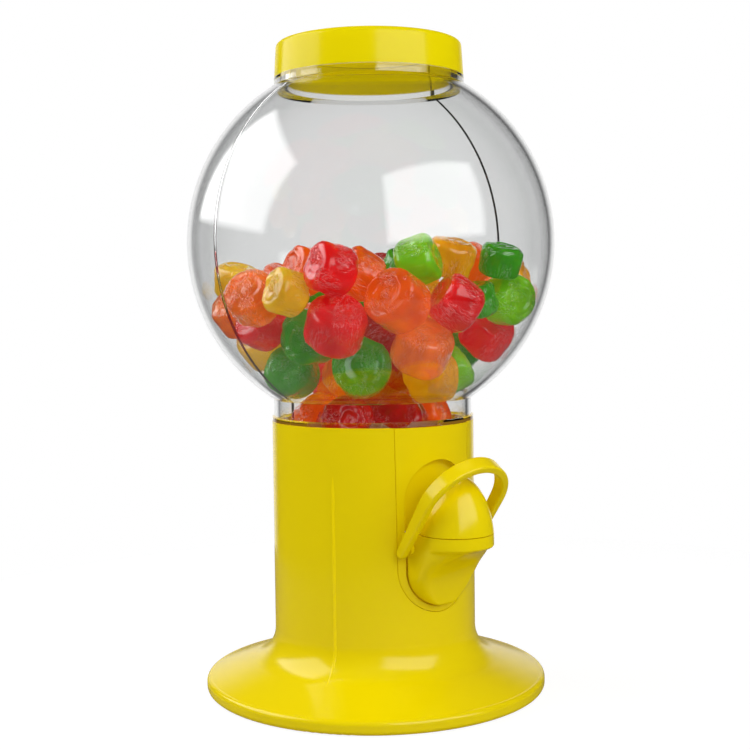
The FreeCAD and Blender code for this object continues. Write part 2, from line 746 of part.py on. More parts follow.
def lid():
    """Plain cap that sits on the bead and reaches over the neck."""
    top_r = LID_RADIUS - LID_DRAFT
    bore = NECK_RADIUS + LID_GAP
    turn = LID_ROUND * (1 - math.sqrt(0.5))
    return turned(outline(
        front,
        (bore, BEAD_TOP_Z),
        ((LID_RADIUS, BEAD_TOP_Z),),
        ((top_r, LID_TOP_Z - LID_ROUND),),
        ((top_r - turn, LID_TOP_Z - turn), (top_r - LID_ROUND, LID_TOP_Z)),
        ((0, LID_TOP_Z),),
        ((0, LID_TOP_Z - LID_THICKNESS),),
        ((bore, LID_TOP_Z - LID_THICKNESS),),
    ))


# Candies


def candy_shape(size):
    r = CANDY_RADIUS * size
    h = CANDY_HALF_HEIGHT * size
    e = CANDY_EDGE * size
    turn = e * (1 - math.sqrt(0.5))
    return turned(outline(
        front,
        (0, -h),
        ((r - e, -h),),
        ((r - turn, -h + turn), (r, -h + e)),
        ((r, h - e),),
        ((r - turn, h - turn), (r - e, h)),
        ((0, h),),
    ))


class Candy:
    """A candy's colour, size, place and barrel axis while the heap settles."""

    def __init__(self, colour, size, place, axis, home=None):
        self.colour = colour
        self.size = size
        self.place = place
        self.axis = axis
        self.home = home

    def reach(self, along):
        """How far the barrel reaches from its centre in a direction."""
        lean = min(1.0, abs(along.dot(self.axis)))
        flat = math.sqrt(1 - lean * lean)
        edge = CANDY_EDGE
        barrel = edge + (CANDY_RADIUS - edge) * flat + (CANDY_HALF_HEIGHT - edge) * lean
        return self.size * barrel

    def sink(self, ease):
        """Fall a little, or for a shown candy go back to where it shows, at any depth."""
        if self.home is None:
            self.place.z -= SETTLING_FALL * ease
        else:
            towards = seen_from_side(0, 1, 0)
            pull = self.home - self.place
            pull = pull - towards * (pull.dot(towards) * DEPTH_FREEDOM)
            self.place = self.place + pull * (HOMING * ease)


def seen_from_side(right, towards, up):
    """Vector in the machine's frame from one in the frame of the side that shows."""
    bearing = math.radians(SHOW_BEARING)
    across_x = math.cos(bearing)
    across_y = -math.sin(bearing)
    return Vector(right * across_x + towards * across_y, right * across_y - towards * across_x, up)


def shown_place(right_share, up_share, row, size):
    """Place just behind the glass, or one or more rows further in."""
    right = right_share / 100 * GLOBE_RADIUS
    up = up_share / 100 * GLOBE_RADIUS
    room = GLOBE_RADIUS - GLOBE_WALL - CANDY_GAP - CANDY_RADIUS * size
    rest = room ** 2 - right ** 2 - up ** 2
    towards = math.sqrt(max(rest, 0.0)) - row * ROW_DEPTH
    return seen_from_side(right, towards, GLOBE_CENTRE_Z + up)


def random_direction(chance):
    z = chance.uniform(-1, 1)
    angle = chance.uniform(0, 2 * math.pi)
    flat = math.sqrt(1 - z * z)
    return Vector(flat * math.cos(angle), flat * math.sin(angle), z)


def keep_inside(candy):
    """Move a candy back inside the globe, its collar or the hopper below."""
    centre = Vector(0, 0, GLOBE_CENTRE_Z)
    spot = candy.place
    flat = Vector(spot.x, spot.y, 0)
    bore = COLUMN_RADIUS - PEDESTAL_WALL - SPIGOT_GAP - GLOBE_WALL
    if spot.z > COLLAR_TOP_Z or flat.Length > bore:
        arm = spot - centre
        room = GLOBE_RADIUS - GLOBE_WALL - CANDY_GAP - candy.reach(arm.normalize())
        arm = spot - centre
        if arm.Length > room:
            candy.place = centre + arm * (room / arm.Length)
    else:
        out = Vector(flat)
        if flat.Length > 1e-6:
            out.normalize()
            room = bore - CANDY_GAP - candy.reach(out)
            if flat.Length > room:
                candy.place = Vector(out.x * room, out.y * room, spot.z)
    low = CHUTE_TOP + CANDY_GAP + candy.reach(Vector(0, 0, 1))
    if candy.place.z < low:
        candy.place.z = low


def push_apart(first, second):
    """Part two candies that are too close, and return by how much they were."""
    apart = second.place - first.place
    distance = apart.Length
    if distance > CANDY_SPAN:
        return 0.0
    along = apart * (1 / distance)
    short = first.reach(along) + second.reach(along) + CANDY_GAP - distance
    if short <= 0:
        return 0.0
    share = 0.5
    if first.home is None and second.home is not None:
        share = 1 - FILLER_YIELD
    elif first.home is not None and second.home is None:
        share = FILLER_YIELD
    first.place = first.place - along * (short * (1 - share))
    second.place = second.place + along * (short * share)
    return short


def settle(heap, ease):
    """Let every candy sink, part those that meet, and return the worst overlap."""
    for candy in heap:
        candy.sink(ease)
    heap.sort(key=lambda candy: candy.place.z)
    worst = 0.0
    for index, first in enumerate(heap):
        for second in heap[index + 1:]:
            if second.place.z - first.place.z > CANDY_SPAN:
                break
            worst = max(worst, push_apart(first, second))
    for candy in heap:
        keep_inside(candy)
    return worst


def settled_candies():
    """Shown candies at their places and fillers behind them, parted until none touch."""
    heap = []
    for right_share, up_share, row, size, colour, way in SHOWN_CANDIES:
        home = shown_place(right_share, up_share, row, size)
        heap.append(Candy(colour, size, Vector(home), seen_from_side(*way).normalize(), home))
    chance = random.Random(FILLER_SEED)
    spread = COLLAR_RADIUS
    for index in range(FILLERS):
        height = chance.uniform(CHUTE_TOP, GLOBE_CENTRE_Z)
        place = seen_from_side(chance.uniform(-spread, spread), chance.uniform(-spread, 0), height)
        colour = CANDY_COLOURS[index % len(CANDY_COLOURS)]
        heap.append(Candy(colour, FILLER_SIZE, place, random_direction(chance)))
    for step in range(SETTLING_STEPS):
        settle(heap, 1 - step / SETTLING_STEPS)
    while settle(heap, 0.0) > CANDY_GAP / 4:
        pass
    return heap


def placed(candy):
    shape = candy_shape(candy.size)
    turn = FreeCAD.Rotation(Vector(0, 0, 1), candy.axis)
    shape.Placement = FreeCAD.Placement(candy.place, turn)
    return shape


def candies():
    """One compound of separate candies for each colour."""
    groups = {colour: [] for colour in CANDY_COLOURS}
    for candy in settled_candies():
        groups[candy.colour].append(placed(candy))
    return {"candies_" + colour: Part.makeCompound(solids) for colour, solids in groups.items()}


def main():
    os.makedirs("parts", exist_ok=True)
    pieces = {
        "pedestal": pedestal(),
        "bottom_cover": bottom_cover(),
        "cover_screws": cover_screws(),
        "foot_pads": foot_pads(),
        "spout_panel": spout_panel(),
        "scoop": scoop(),
        "loop_handle": loop_handle(),
        "pivot_pins": pivot_pins(),
        "chute": chute(),
        "globe_front_shell": globe_half(-1),
        "globe_rear_shell": globe_half(1),
        "lid": lid(),
    }
    pieces.update(candies())
    for name, shape in pieces.items():
        if not shape.isValid():
            raise ValueError(name + " is not a valid solid")
        shape.exportStep("parts/" + name + ".step")
        print(name, len(shape.Solids), round(shape.Volume))


main()
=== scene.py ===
import math

import bmesh
import bpy
import numpy as np
from bpy.props import FloatProperty, FloatVectorProperty, IntProperty, PointerProperty
from mathutils import Matrix, Vector, noise


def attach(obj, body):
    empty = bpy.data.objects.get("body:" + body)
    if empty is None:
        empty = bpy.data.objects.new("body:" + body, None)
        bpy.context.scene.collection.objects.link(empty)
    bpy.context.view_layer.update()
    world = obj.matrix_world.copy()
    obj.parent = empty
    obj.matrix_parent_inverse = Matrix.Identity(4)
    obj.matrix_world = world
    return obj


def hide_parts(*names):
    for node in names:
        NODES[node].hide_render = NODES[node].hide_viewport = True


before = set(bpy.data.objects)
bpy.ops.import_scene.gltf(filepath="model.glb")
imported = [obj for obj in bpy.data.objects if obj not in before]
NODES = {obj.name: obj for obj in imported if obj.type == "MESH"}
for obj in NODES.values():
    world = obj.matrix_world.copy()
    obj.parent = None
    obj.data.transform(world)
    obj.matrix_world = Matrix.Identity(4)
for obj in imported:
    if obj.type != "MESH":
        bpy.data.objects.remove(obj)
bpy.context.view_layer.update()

bl_info = {
    "name": "Gumball Machine",
    "version": (1, 0, 0),
    "blender": (4, 5, 0),
    "location": "3D View > Sidebar > Gumball",
    "description": "Dresses a table-top gumball machine with its clear globe and hard candies",
    "category": "Object",
}

CANDY_FLAVOURS = ("red", "cherry", "orange", "peach", "amber", "lemon", "green", "lime")
YELLOW_MOULDINGS = ("pedestal", "spout_panel", "scoop", "loop_handle", "bottom_cover")
GLOBE_SHELLS = ("globe_front_shell", "globe_rear_shell")
STEEL_PIECES = ("cover_screws", "pivot_pins")
GLOBE_MIDDLE = 0.14637
SPOUT_BEARING = math.radians(38.0)
FLOOR_MIDDLE = (0.03, 0.02, 0.0)
PAPER_WAY = (-0.04, 1.0, 0.0)
WHITE = (1.0, 1.0, 1.0)


# Properties


def colour_property(name, description, default):
    return FloatVectorProperty(
        name=name, description=description, subtype="COLOR", size=3, min=0.0, max=1.0, default=default)


def share_property(name, description, default):
    return FloatProperty(
        name=name, description=description, subtype="FACTOR", min=0.0, max=1.0, default=default)


def length_property(name, description, default):
    return FloatProperty(
        name=name, description=description, subtype="DISTANCE", unit="LENGTH", default=default)


def angle_property(name, description, default):
    return FloatProperty(
        name=name, description=description, subtype="ANGLE", unit="ROTATION", default=default)


def level_property(name, description, default):
    return FloatProperty(name=name, description=description, min=0.0, default=default)


class GumballMouldings(bpy.types.PropertyGroup):
    """Finish of the yellow mouldings and of the plain pieces inside and below."""

    yellow: colour_property("Yellow", "Colour of the glossy mouldings", (0.825, 0.68, 0.0003))
    warm_yellow: colour_property("Warm yellow", "Colour where the melt ran thicker", (0.795, 0.65, 0.0003))
    lid_yellow: colour_property("Lid yellow", "Colour of the lid", (0.85, 0.77, 0.0003))
    lid_through: share_property("Lid light", "Share of the light that goes through the lid", 0.5)
    wall_through: share_property("Wall light", "Share of the light that goes through the other mouldings", 0.1)
    shine: share_property("Shine", "Strength of the reflections on the moulded skin", 0.35)
    roughness: share_property("Roughness", "Roughness of the moulded skin", 0.15)
    # Painted glow: the back faces of every yellow moulding emit their own yellow at this strength.
    painted_wall_glow: share_property("Wall glow", "Light inside the wall where clear plastic touches it", 0.45)
    chute_white: colour_property("Chute white", "Colour of the chute inside the column", (0.78, 0.77, 0.73))
    steel: colour_property("Steel", "Colour of screws and pins", (0.60, 0.60, 0.61))
    rubber: colour_property("Rubber", "Colour of the foot pads", (0.03, 0.03, 0.03))
    line_bearing: angle_property("Line bearing", "Bearing of the parting line from the spout", math.radians(60.4))
    line_top: length_property("Line top", "Height at which the parting line starts", 0.074)
    line_width: length_property("Line width", "Thickness of the round parting line, most of it sunk", 0.0016)
    line_rise: length_property("Line rise", "Height by which the parting line stands out", 0.00025)
    # Painted highlight: the parting line's yellow is made lighter than the wall's by this factor.
    line_painted_highlight: level_property("Line brightness", "How much brighter the parting line is than the wall", 1.12)


class GumballGlobe(bpy.types.PropertyGroup):
    """Finish of the clear globe."""

    tint: colour_property("Tint", "What one face of the clear plastic lets through", (0.88, 0.886, 0.885))
    refraction: FloatProperty(
        name="Refraction", description="Index of refraction of the clear plastic", min=1.0, max=2.0, default=1.5)
    radius: length_property("Radius", "Radius of the seam's outer edge", 0.05965)
    wall: length_property("Wall", "From the outer to the inner edge of the seam", 0.0012)
    # Painted shade: the seam's edges are dark wires standing in for the shade where the two clear shells meet.
    seam: colour_property("Seam", "Colour of the seam's edges", (0.04, 0.034, 0.03))
    seam_width: length_property("Seam width", "Thickness of the seam's edges", 0.00042)
    flange_top: length_property("Flange top", "Height of the flange that lies on the column", 0.0904)
    # Painted glow in the clear flange, standing in for light that the yellow walls round it would throw into it.
    flange_glow_colour: colour_property("Flange gold", "Colour of the light caught in the flange", (0.62, 0.30, 0.02))
    flange_glow: share_property("Flange glow", "Strength of the light caught in the flange", 0.10)


class GumballCandies(bpy.types.PropertyGroup):
    """Shape and colours of the hard candies."""

    red: colour_property("Red", "Colour of the red candies", (0.78, 0.006, 0.008))
    cherry: colour_property("Cherry", "Colour of the dark red candies", (0.52, 0.002, 0.004))
    orange: colour_property("Orange", "Colour of the orange candies", (0.90, 0.14, 0.004))
    peach: colour_property("Peach", "Colour of the pale orange candies", (0.90, 0.22, 0.03))
    amber: colour_property("Amber", "Colour of the amber candies", (0.82, 0.40, 0.006))
    lemon: colour_property("Lemon", "Colour of the pale yellow candies", (0.84, 0.54, 0.03))
    green: colour_property("Green", "Colour of the green candies", (0.055, 0.34, 0.010))
    lime: colour_property("Lime", "Colour of the lime candies", (0.22, 0.56, 0.008))
    segments: IntProperty(name="Segments", description="Points round a candy", min=12, max=256, default=72)
    swirl_depth: length_property("Swirl depth", "Depth of the swirl rolled into the ends", 0.0005)
    swirl_turns: level_property("Swirl turns", "Turns of the swirl from the middle to the edge", 2.6)
    streak_depth: length_property("Streak depth", "Depth of the pulled streaks round the side", 0.0003)
    dent_depth: length_property("Dent depth", "Depth of the soft dents", 0.0010)
    scatter: length_property("Scatter", "How far light runs inside a candy", 0.007)
    clearness: share_property("Clearness", "Share of the light that passes a candy unscattered", 0.4)
    # Painted highlight: glints are pale lines mixed into the candy's colour.
    glint: share_property("Glint", "Strength of the pale glinting lines", 0.16)
    # Painted glow: candies emit their own colour at this strength, standing in for light that reaches them through
    # their neighbours.
    glow: share_property("Glow", "Light that reaches a candy through its neighbours", 0.28)


class GumballStudio(bpy.types.PropertyGroup):
    """Camera, lamps and floor."""

    lens: FloatProperty(
        name="Lens", description="Focal length of the camera", subtype="DISTANCE_CAMERA", unit="CAMERA", default=62.4)
    distance: length_property("Distance", "From the column's axis to the camera", 0.430125)
    height: length_property("Height", "Camera above the floor", 0.128694)
    yaw: angle_property("Yaw", "Camera turned to the right", 0.002)
    pitch: angle_property("Pitch", "Camera turned down", 0.059)
    roll: angle_property("Roll", "Camera turned about its own axis", -0.012)
    floor_radius: length_property("Floor radius", "Radius of the round floor", 0.25)
    floor_white: colour_property("Floor", "Colour of the floor", (0.48, 0.48, 0.48))
    floor_shine: colour_property("Floor in shine", "Colour of the floor in what shines", (0.22, 0.22, 0.22))
    floor_paper: share_property("Floor paper", "Share of plain white in the floor as it is seen", 0.72)
    floor_level: level_property("Floor level", "Level of that plain white", 1.26)
    room_grey: share_property("Room light", "Level of the room round the lamps", 0.24)
    room_shine: share_property("Room shine", "Level of the room in what shines", 0.04)
    room_glass: share_property("Room in glass", "Level of the room seen through the globe", 0.8)
    paper_edge: share_property("Paper edge", "Cosine of the angle at which the paper behind ends", 0.80)
    paper_fade: share_property("Paper fade", "Rise of that cosine up to full white", 0.12)
    left_lamp: level_property("Left lamp", "Radiance of the left soft box", 3.8)
    right_lamp: level_property("Right lamp", "Radiance of the right soft box", 3.5)
    lamp_distance: length_property("Lamp distance", "From the globe's middle to a soft box", 0.5)
    fill_lamp: level_property("Fill lamp", "Radiance of the lamp over the camera", 0.85)
    fill_size: length_property("Fill size", "Width of the lamp over the camera", 0.5)
    fill_distance: length_property("Fill distance", "From the globe's middle to that lamp", 0.7)
    fill_tilt: angle_property("Fill tilt", "Angle of that lamp from straight overhead", math.radians(40.0))


# Materials


def fresh_material(name):
    """New node material, with its node tree and its Principled shader."""
    material = bpy.data.materials.new(name)
    material.use_nodes = True
    tree = material.node_tree
    return material, tree, tree.nodes["Principled BSDF"]


def set_inputs(node, **values):
    """Set sockets by name, with underscores for the spaces."""
    for name, value in values.items():
        node.inputs[name.replace("_", " ")].default_value = value


def feed(tree, socket, value):
    """Feed a socket with a plain number or with another node's output."""
    if isinstance(value, float):
        socket.default_value = value
    else:
        tree.links.new(value, socket)


def rgba(colour):
    return (*colour, 1.0)


def calculated(tree, operation, first, second):
    """Result of a Math node."""
    node = tree.nodes.new("ShaderNodeMath")
    node.operation = operation
    feed(tree, node.inputs[0], first)
    feed(tree, node.inputs[1], second)
    return node.outputs["Value"]


def ranged(tree, value, source, target):
    """Carry a value over from one range to another, and stop at its ends."""
    spread = tree.nodes.new("ShaderNodeMapRange")
    set_inputs(spread, From_Min=source[0], From_Max=source[1], To_Min=target[0], To_Max=target[1])
    tree.links.new(value, spread.inputs["Value"])
    return spread.outputs["Result"]


def colour_between(tree, factor, first, second, start=0.35, end=0.65):
    ramp = tree.nodes.new("ShaderNodeValToRGB")
    low, high = ramp.color_ramp.elements
    low.position, low.color = start, rgba(first)
    high.position, high.color = end, rgba(second)
    tree.links.new(factor, ramp.inputs["Fac"])
    return ramp.outputs["Color"]


def noise_at(tree, place, scale, detail):
    texture = tree.nodes.new("ShaderNodeTexNoise")
    set_inputs(texture, Scale=scale, Detail=detail)
    tree.links.new(place, texture.inputs["Vector"])
    return texture.outputs["Fac"]


def moulded_noise(tree, scale, detail=3.0):
    """Noise in the piece's own frame, in metres."""
    return noise_at(tree, tree.nodes.new("ShaderNodeTexCoord").outputs["Object"], scale, detail)


def rolled_noise(tree, scale, detail, stretch):
    """Noise in each candy's own frame, drawn out along its axis."""
    place = tree.nodes.new("ShaderNodeAttribute")
    place.attribute_name = "rolled"
    drawn = tree.nodes.new("ShaderNodeVectorMath")
    drawn.operation = "MULTIPLY"
    drawn.inputs[1].default_value = (1.0, 1.0, stretch)
    tree.links.new(place.outputs["Vector"], drawn.inputs[0])
    return noise_at(tree, drawn.outputs["Vector"], scale, detail)


def bump_normal(tree, height, strength, distance):
    bump = tree.nodes.new("ShaderNodeBump")
    set_inputs(bump, Strength=strength, Distance=distance)
    tree.links.new(height, bump.inputs["Height"])
    return bump.outputs["Normal"]


def show_mix(tree, share, first, second, target="Material Output"):
    """Show a mix of two shaders, with the given share of the second."""
    mix = tree.nodes.new("ShaderNodeMixShader")
    feed(tree, mix.inputs["Fac"], share)
    tree.links.new(first, mix.inputs[1])
    tree.links.new(second, mix.inputs[2])
    tree.links.new(mix.outputs["Shader"], tree.nodes[target].inputs["Surface"])


def open_way(tree):
    """Shader that lets light pass unchanged."""
    way = tree.nodes.new("ShaderNodeBsdfTransparent")
    set_inputs(way, Color=rgba(WHITE))
    return way.outputs["BSDF"]


def plain_finish(name, colour, roughness, metallic=0.0):
    """Finish with a fine grain, for the pieces that hardly show."""
    material, tree, shader = fresh_material(name)
    grain = moulded_noise(tree, 900.0)
    darker = [0.85 * channel for channel in colour]
    tree.links.new(colour_between(tree, grain, darker, colour), shader.inputs["Base Color"])
    tree.links.new(ranged(tree, grain, (0.0, 1.0), (roughness, 1.2 * roughness)), shader.inputs["Roughness"])
    set_inputs(shader, Metallic=metallic)
    return material


def yellow_finish(name, warm, yellow, through_share, look):
    """Glossy moulded plastic with faint flow marks, whose thin walls let some light through and whose back faces
    carry a painted glow.
    """
    material, tree, shader = fresh_material(name)
    flow = moulded_noise(tree, 22.0)
    paint = colour_between(tree, flow, warm, yellow, 0.25, 0.75)
    roughness = ranged(tree, flow, (0.0, 1.0), (look.roughness, 1.25 * look.roughness))
    # Painted glow: back faces of the wall emit the yellow, standing in for light that would come through the plastic
    # into gaps and cavities.
    side = tree.nodes.new("ShaderNodeNewGeometry")
    inside = calculated(tree, "MULTIPLY", side.outputs["Backfacing"], look.painted_wall_glow)
    tree.links.new(paint, shader.inputs["Base Color"])
    tree.links.new(paint, shader.inputs["Emission Color"])
    tree.links.new(inside, shader.inputs["Emission Strength"])
    tree.links.new(roughness, shader.inputs["Roughness"])
    tree.links.new(bump_normal(tree, moulded_noise(tree, 160.0, 2.0), 0.08, 0.0002), shader.inputs["Normal"])
    set_inputs(shader, IOR=1.5, Specular_IOR_Level=look.shine)
    through = tree.nodes.new("ShaderNodeBsdfTranslucent")
    tree.links.new(paint, through.inputs["Color"])
    show_mix(tree, through_share, shader.outputs["BSDF"], through.outputs["BSDF"])
    return material


def painted_flange_glow(tree, path, look):
    """Strength of the painted glow that stands in for light thrown to and fro inside the flange."""
    place = tree.nodes.new("ShaderNodeNewGeometry")
    parts = tree.nodes.new("ShaderNodeSeparateXYZ")
    tree.links.new(place.outputs["Position"], parts.inputs["Vector"])
    in_flange = calculated(tree, "LESS_THAN", parts.outputs["Z"], look.flange_top)
    thrown = calculated(tree, "GREATER_THAN", path.outputs["Ray Depth"], 2.5)
    return calculated(tree, "MULTIPLY", calculated(tree, "MULTIPLY", in_flange, thrown), look.flange_glow)


def clear_finish(look):
    """Clear plastic that lets lamp light through to the candies, with a painted glow in its flange."""
    material, tree, shader = fresh_material("clear_plastic")
    path = tree.nodes.new("ShaderNodeLightPath")
    set_inputs(
        shader,
        Base_Color=rgba(look.tint),
        IOR=look.refraction,
        Transmission_Weight=1.0,
        Emission_Color=rgba(look.flange_glow_colour),
    )
    tree.links.new(ranged(tree, moulded_noise(tree, 40.0), (0.0, 1.0), (0.0, 0.02)), shader.inputs["Roughness"])
    # Painted glow: deep rays below the flange top make the clear plastic emit gold.
    tree.links.new(painted_flange_glow(tree, path, look), shader.inputs["Emission Strength"])
    lights_up = calculated(tree, "MAXIMUM", path.outputs["Is Shadow Ray"], path.outputs["Is Diffuse Ray"])
    show_mix(tree, lights_up, shader.outputs["BSDF"], open_way(tree))
    return material


def crinkles(tree):
    """Height of fine wet wrinkles that gather in patches, and the mask of painted glints: pale lines among them."""
    lines = calculated(tree, "SUBTRACT", rolled_noise(tree, 800.0, 2.0, 0.35), 0.5)
    folds = calculated(tree, "ABSOLUTE", lines, 0.0)
    patches = ranged(tree, rolled_noise(tree, 170.0, 1.0, 0.7), (0.45, 0.60), (0.0, 1.0))
    height = calculated(tree, "MULTIPLY", calculated(tree, "MINIMUM", folds, 0.12), patches)
    glints = calculated(tree, "MULTIPLY", ranged(tree, folds, (0.045, 0.0), (0.0, 1.0)), patches)
    return height, glints


def candy_finish(name, colour, look):
    """Boiled sugar: deep colour, light running inside it, a painted glow, a wet shine and fine glints painted as pale
    lines in the colour.
    """
    material, tree, shader = fresh_material(name)
    cloud = rolled_noise(tree, 120.0, 2.0, 0.6)
    deep = [0.72 * channel ** 1.1 for channel in colour]
    # Painted highlight: the glint lines are mixed towards this pale colour.
    pale = [0.35 * channel + 0.62 for channel in colour]
    height, glints = crinkles(tree)
    paint = tree.nodes.new("ShaderNodeMix")
    paint.data_type = "RGBA"
    tree.links.new(calculated(tree, "MULTIPLY", glints, look.glint), paint.inputs["Factor"])
    tree.links.new(colour_between(tree, cloud, deep, colour), paint.inputs["A"])
    set_inputs(paint, B=rgba(pale))
    tree.links.new(paint.outputs["Result"], shader.inputs["Base Color"])
    tree.links.new(paint.outputs["Result"], shader.inputs["Emission Color"])
    tree.links.new(ranged(tree, cloud, (0.0, 1.0), (0.10, 0.20)), shader.inputs["Roughness"])
    set_inputs(
        shader,
        Subsurface_Weight=1.0,
        Subsurface_Radius=(1.0, 0.6, 0.35),
        Subsurface_Scale=look.scatter,
        # Painted glow: the candy emits its own colour.
        Emission_Strength=look.glow,
        IOR=1.45,
        Specular_IOR_Level=0.2,
        Transmission_Weight=look.clearness,
        Coat_Weight=1.0,
        Coat_Roughness=0.03,
    )
    skin = bump_normal(tree, height, 1.0, 0.003)
    tree.links.new(skin, shader.inputs["Normal"])
    tree.links.new(skin, shader.inputs["Coat Normal"])
    return material


def give(node, material):
    """Put one material on every slot of a CAD node."""
    slots = NODES[node].data.materials
    slots.clear()
    slots.append(material)


# Fine lines


def put_in_scene(name, data):
    thing = bpy.data.objects.new(name, data)
    bpy.context.scene.collection.objects.link(thing)
    return thing


def tube_along(name, runs, width):
    """Mesh of round wires through runs of points."""
    curve = bpy.data.curves.new(name, "CURVE")
    curve.dimensions = "3D"
    curve.bevel_depth = width / 2
    curve.bevel_resolution = 2
    curve.use_fill_caps = True
    for run in runs:
        line = curve.splines.new("POLY")
        line.points.add(len(run) - 1)
        for point, spot in zip(line.points, run):
            point.co = (*spot, 1.0)
    wire = put_in_scene(name, curve)
    bpy.context.view_layer.update()
    mesh = bpy.data.meshes.new_from_object(wire)
    bpy.data.objects.remove(wire)
    mesh.polygons.foreach_set("use_smooth", [True] * len(mesh.polygons))
    return put_in_scene(name, mesh)


def parting_line(look):
    """Fine raised line down the column and out over the foot.

    It is sighted on the pedestal from a point beside the column, level and then down to the foot,
    and sinks into the wall at both ends."""
    sight_radius = 0.062
    sweep = math.radians(72.0)
    steps = 60
    fade = 8
    pedestal = NODES["pedestal"]
    out = Vector((-math.sin(look.line_bearing), -math.cos(look.line_bearing), 0.0))
    stand = out * sight_radius + Vector((0.0, 0.0, look.line_top))
    into_part = pedestal.matrix_world.inverted()
    run = []
    for step in range(steps + 1):
        drop = sweep * step / steps
        ray = Vector((0.0, 0.0, -math.sin(drop))) - out * math.cos(drop)
        found, spot, normal, _ = pedestal.ray_cast(into_part @ stand, (into_part.to_3x3() @ ray).normalized())
        if not found:
            raise RuntimeError("the parting line leaves the pedestal")
        rise = look.line_rise * min(1.0, step / fade, (steps - step) / fade)
        run.append(pedestal.matrix_world @ spot + normal * (rise - look.line_width / 2))
    return tube_along("parting_line", [run], look.line_width)


def seam_line(name, radius, thickness):
    """Thin dark ring of painted shade where the two half shells meet, from the collar round to the neck."""
    collar_angle = -55.5
    neck_angle = 58.0
    steps = 96
    runs = []
    for way in (-1, 1):
        run = []
        for step in range(steps + 1):
            angle = math.radians(collar_angle + (neck_angle - collar_angle) * step / steps)
            run.append((way * radius * math.cos(angle), 0.0, GLOBE_MIDDLE + radius * math.sin(angle)))
        runs.append(run)
    return tube_along(name, runs, thickness)


# Candies


class Barrel:
    """A candy read back from its solid: middle, axis, radius and half height.

    It is a little larger than the solid, because dents and streaks only go inwards."""

    SWELL = 1.02

    def __init__(self, points):
        centred = points - points.mean(axis=0)
        directions = np.linalg.svd(centred, full_matrices=False)[2]
        spans = [centred @ way for way in directions]
        halves = [(span.max() - span.min()) / 2 for span in spans]
        axis_index = int(np.argmin(halves))
        middles = [(span.max() + span.min()) / 2 for span in spans]
        middle = points.mean(axis=0) + sum(way * shift for way, shift in zip(directions, middles))
        self.middle = Vector(middle)
        self.axis = Vector(directions[axis_index]).normalized()
        self.half_height = self.SWELL * halves[axis_index]
        self.radius = self.SWELL * max(halves)


def loose_islands(mesh):
    """Points of each separate solid in a mesh."""
    shell = bmesh.new()
    shell.from_mesh(mesh)
    bmesh.ops.remove_doubles(shell, verts=shell.verts, dist=1e-7)
    seen = set()
    islands = []
    for start in shell.verts:
        if start in seen:
            continue
        seen.add(start)
        stack = [start]
        island = []
        while stack:
            point = stack.pop()
            island.append(point.co.copy())
            for edge in point.link_edges:
                other = edge.other_vert(point)
                if other not in seen:
                    seen.add(other)
                    stack.append(other)
        islands.append(np.array(island))
    shell.free()
    return islands


def barrel_profile(radius, half, edge, face_rings=14, turn_rings=8, side_rings=10):
    """Radius and height of each ring, from the middle of one end to the middle of the other."""
    face = [(step / face_rings * (radius - edge), half) for step in range(1, face_rings + 1)]
    turn = []
    for step in range(1, turn_rings + 1):
        angle = math.pi / 2 * step / turn_rings
        turn.append((radius - edge + edge * math.sin(angle), half - edge + edge * math.cos(angle)))
    side = [(radius, (half - edge) * (1 - 2 * step / side_rings)) for step in range(1, side_rings)]
    upper = face + turn
    lower = [(r, -h) for r, h in reversed(upper)]
    return upper + side + lower


